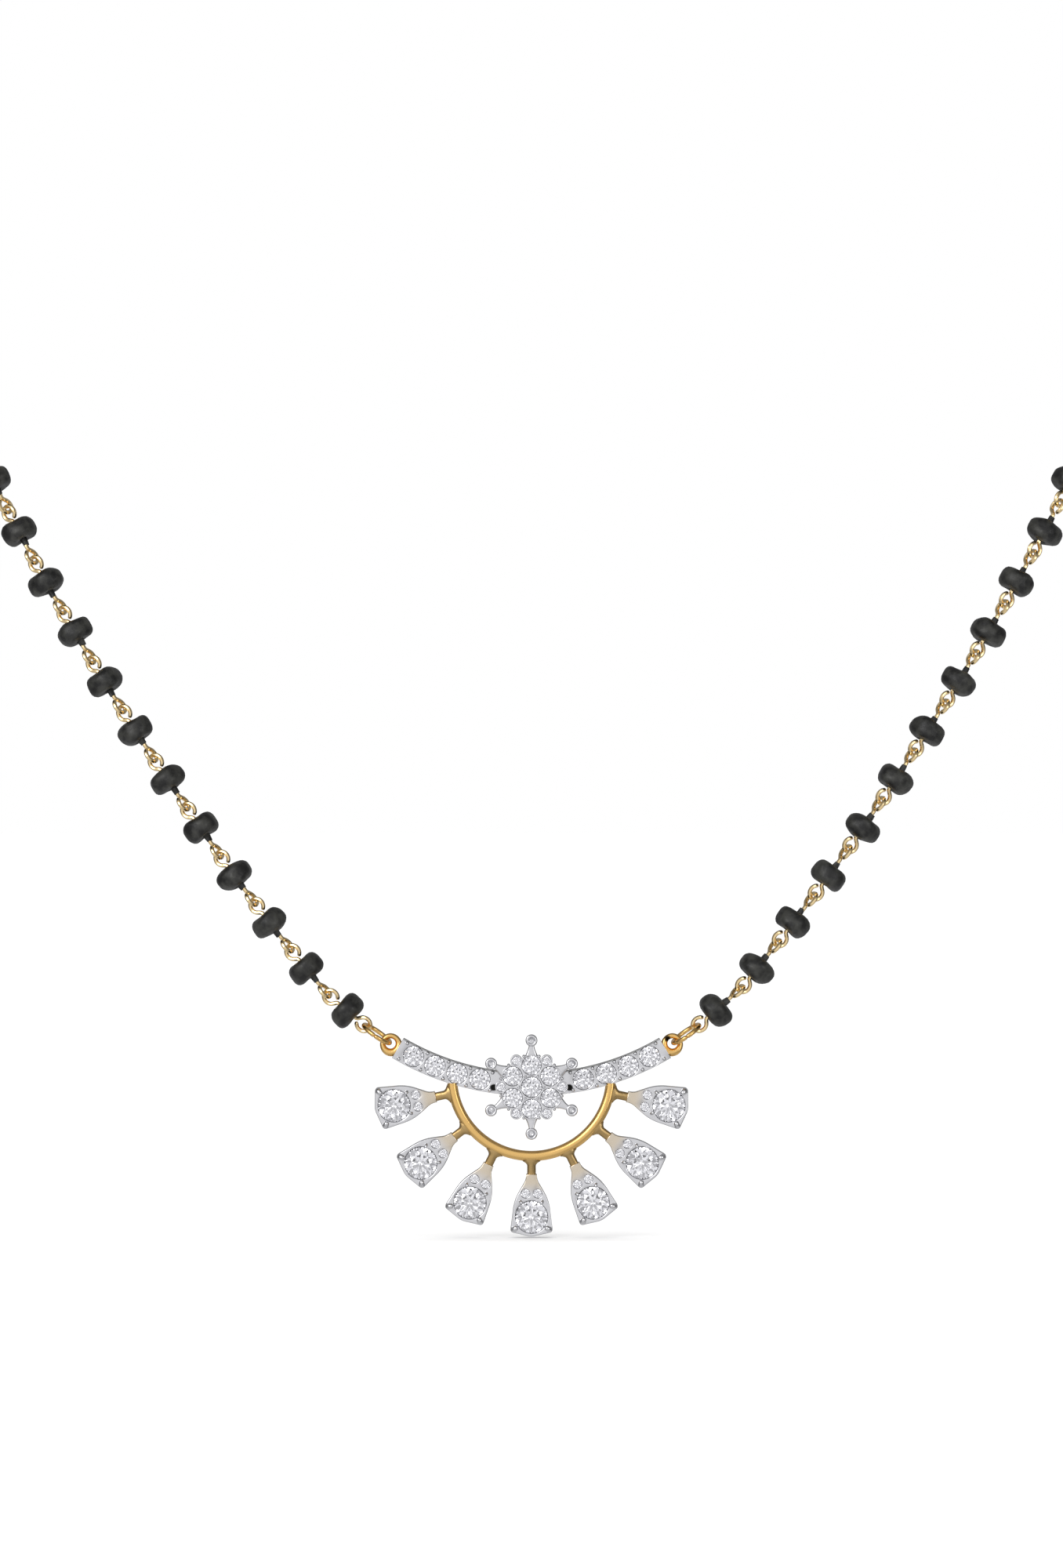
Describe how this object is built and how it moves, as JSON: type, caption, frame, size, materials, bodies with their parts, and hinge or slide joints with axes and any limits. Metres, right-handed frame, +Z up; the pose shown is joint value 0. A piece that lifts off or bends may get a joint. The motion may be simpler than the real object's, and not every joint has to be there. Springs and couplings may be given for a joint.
{
  "type": "mangalsutra",
  "caption": "Black bead necklace on gold eye pins with a two-tone pendant: a stone-set curved bar, a flower cluster and a gold arc with a fan of pear settings.",
  "frame": {"origin": "the middle of the neck hollow, where the neck that holds the necklace up passes through the loop", "axes": "+Z up, the pendant hangs at the front and faces -Y, +X to the right as seen from the front"},
  "size_m": [0.1158, 0.1035, 0.1271],
  "materials": {
    "yellow_gold": "polished 18 carat yellow gold",
    "rhodium": "bright rhodium plate over the stone-set gold",
    "diamond": "brilliant cut, polished",
    "black_glass": "satin black glass"
  },
  "bodies": {
    "chain": {"clasp": "yellow_gold", "clasp_jump_ring": "yellow_gold", "left_beads": "black_glass", "left_jump_ring": "yellow_gold", "left_pins": "yellow_gold", "right_beads": "black_glass", "right_jump_ring": "yellow_gold", "right_pins": "yellow_gold"},
    "pendant": {"accent_stones": "diamond", "bar_stone_1": "diamond", "bar_stone_2": "diamond", "bar_stone_3": "diamond", "bar_stone_4": "diamond", "bar_stone_5": "diamond", "bar_stone_6": "diamond", "bar_stone_7": "diamond", "bar_stone_8": "diamond", "cluster_accent_stones": "diamond", "cluster_centre_stone": "diamond", "cluster_stone_1": "diamond", "cluster_stone_2": "diamond", "cluster_stone_3": "diamond", "cluster_stone_4": "diamond", "cluster_stone_5": "diamond", "cluster_stone_6": "diamond", "pear_stone_1": "diamond", "pear_stone_2": "diamond", "pear_stone_3": "diamond", "pear_stone_4": "diamond", "pear_stone_5": "diamond", "pear_stone_6": "diamond", "pear_stone_7": "diamond", "pendant_frame": "yellow_gold"}
  },
  "joints": [
    {"name": "pendant_swing", "type": "hinge", "parent": "chain", "child": "pendant", "pos_m": [0, -0.0509, -0.09555], "axis": [1, 0, 0], "range_deg": [-35, 35]}
  ]
}
